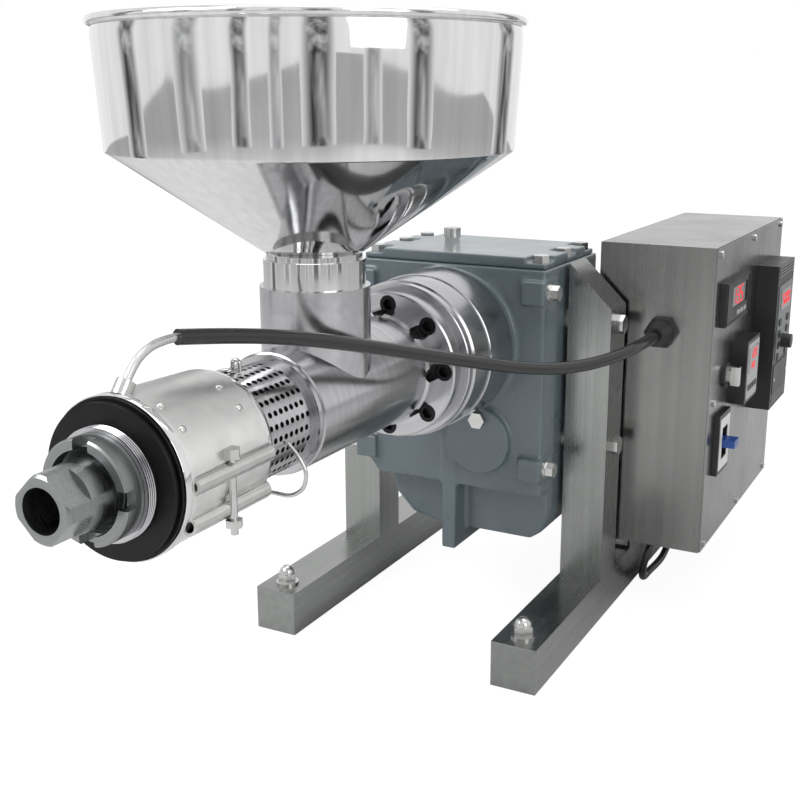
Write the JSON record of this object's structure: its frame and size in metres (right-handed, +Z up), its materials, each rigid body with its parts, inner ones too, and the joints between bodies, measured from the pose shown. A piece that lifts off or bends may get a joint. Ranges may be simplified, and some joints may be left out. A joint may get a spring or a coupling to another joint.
{
  "type": "screw oil press",
  "caption": "Screw oil press: gear unit on a two-rail stand, cantilevered heated press barrel with drilled oil cage, seed hopper on top and a control box at the side.",
  "frame": {"origin": "centre of the machine's outline at floor level, on the surface it stands on", "axes": "+Z up, -Y along the press barrel towards the nozzle, +X towards the control box"},
  "size_m": [0.4966, 1.086, 0.661],
  "materials": {
    "brushed_stainless": "satin brushed stainless steel",
    "polished_stainless": "mirror polished stainless steel",
    "turned_steel": "fine turned steel",
    "dark_steel": "oiled dark machined steel",
    "heater_sheet": "satin light grey sheet",
    "black_ring": "black oxide",
    "gearbox_paint": "blue-grey enamel over cast iron",
    "zinc": "bright zinc plated",
    "gear_steel": "ground gear steel",
    "seal_rubber": "black nitrile rubber",
    "motor_paint": "blue-grey enamel",
    "black_plastic": "moulded black plastic",
    "grey_plastic": "moulded dark grey plastic",
    "white_plastic": "moulded white plastic",
    "blue_plastic": "blue plastic toggle",
    "hose_rubber": "black rubber hose",
    "braid_silver": "silver glass braid sleeve",
    "lead_rubber": "black rubber lead"
  },
  "bodies": {
    "machine": {"left_rail": "brushed_stainless", "right_rail": "brushed_stainless", "left_upright": "brushed_stainless", "right_upright": "brushed_stainless", "foot_studs": "zinc", "acorn_nuts": "polished_stainless", "gearbox_bolts": "zinc", "gearbox_housing": "gearbox_paint", "gearbox_cover": "gearbox_paint", "bearing_cap": "gearbox_paint", "cover_bolts": "zinc", "oil_plugs": "zinc", "gearbox_bearings": "gear_steel", "oil_seals": "seal_rubber", "motor_frame": "motor_paint", "fan_cowl": "motor_paint", "motor_terminal_box": "motor_paint", "thrust_housing": "turned_steel", "adapter_ring": "turned_steel", "feed_barrel": "turned_steel", "flange_bolts": "black_ring", "barrel_end_ring": "turned_steel", "oil_cage": "turned_steel", "press_head": "turned_steel", "heater_band": "heater_sheet", "clamp_lugs": "heater_sheet", "clamp_bolt": "zinc", "heater_terminal": "heater_sheet", "head_ring": "black_ring", "drip_loop": "zinc", "control_box": "brushed_stainless", "control_panel": "brushed_stainless", "panel_screws": "zinc", "box_brackets": "brushed_stainless", "panel_meter": "black_plastic", "temperature_controller": "black_plastic", "breaker_body": "white_plastic", "selector_base": "black_plastic", "drive_body": "grey_plastic", "cable_glands": "black_plastic", "heater_cable": "hose_rubber", "cable_braid": "braid_silver", "motor_lead": "lead_rubber"},
    "screw_train": {"press_screw": "turned_steel", "output_gear": "gear_steel"},
    "layshaft": {"lay_pinion": "gear_steel", "lay_gear": "gear_steel"},
    "rotor": {"motor_shaft": "gear_steel", "motor_pinion": "gear_steel", "motor_fan": "black_plastic"},
    "hopper": {"hopper_bowl": "polished_stainless", "hopper_collar": "polished_stainless"},
    "lock_nut": {"lock_nut": "dark_steel"},
    "nozzle": {"nozzle": "dark_steel"},
    "selector": {"selector_knob": "black_plastic"},
    "toggle": {"breaker_toggle": "blue_plastic"},
    "dial": {"speed_dial": "black_plastic"},
    "key_1": {"meter_key_1": "grey_plastic"},
    "key_2": {"meter_key_2": "grey_plastic"},
    "key_3": {"meter_key_3": "grey_plastic"}
  },
  "joints": [
    {"name": "screw_spin", "type": "hinge", "parent": "machine", "child": "screw_train", "pos_m": [-0.0615, -0.197, 0.328], "axis": [0, 1, 0], "continuous": true},
    {"name": "layshaft_spin", "type": "hinge", "parent": "machine", "child": "layshaft", "pos_m": [-0.08914, 0.132, 0.23973], "axis": [0, 1, 0], "continuous": true},
    {"name": "motor_spin", "type": "hinge", "parent": "machine", "child": "rotor", "pos_m": [-0.0205, 0.432, 0.218], "axis": [0, 1, 0], "continuous": true},
    {"name": "hopper_lift", "type": "slide", "parent": "machine", "child": "hopper", "axis": [0, 0, 1], "range_m": [0, 0.06]},
    {"name": "lock_nut_turn", "type": "hinge", "parent": "machine", "child": "lock_nut", "pos_m": [-0.0615, -0.503, 0.328], "axis": [0, -1, 0], "range_deg": [-180, 180]},
    {"name": "nozzle_turn", "type": "hinge", "parent": "machine", "child": "nozzle", "pos_m": [-0.0615, -0.543, 0.328], "axis": [0, -1, 0], "range_deg": [-180, 180]},
    {"name": "selector_turn", "type": "hinge", "parent": "machine", "child": "selector", "pos_m": [0.2179, 0.254, 0.28], "axis": [1, 0, 0], "range_deg": [-45, 45]},
    {"name": "breaker_throw", "type": "hinge", "parent": "machine", "child": "toggle", "pos_m": [0.2089, 0.248, 0.202], "axis": [0, 1, 0], "range_deg": [-22, 22]},
    {"name": "speed_dial_turn", "type": "hinge", "parent": "machine", "child": "dial", "pos_m": [0.2409, 0.45, 0.287], "axis": [1, 0, 0], "range_deg": [-135, 135]},
    {"name": "key_1_press", "type": "slide", "parent": "machine", "child": "key_1", "axis": [-1, 0, 0], "range_m": [0, 0.0008], "stiffness_N_per_m": 600},
    {"name": "key_2_press", "type": "slide", "parent": "machine", "child": "key_2", "axis": [-1, 0, 0], "range_m": [0, 0.0008], "stiffness_N_per_m": 600},
    {"name": "key_3_press", "type": "slide", "parent": "machine", "child": "key_3", "axis": [-1, 0, 0], "range_m": [0, 0.0008], "stiffness_N_per_m": 600}
  ],
  "couplings": [
    {"joint": "layshaft_spin", "follows": "screw_spin", "ratio": -4.2857},
    {"joint": "motor_spin", "follows": "screw_spin", "ratio": 17.755}
  ]
}
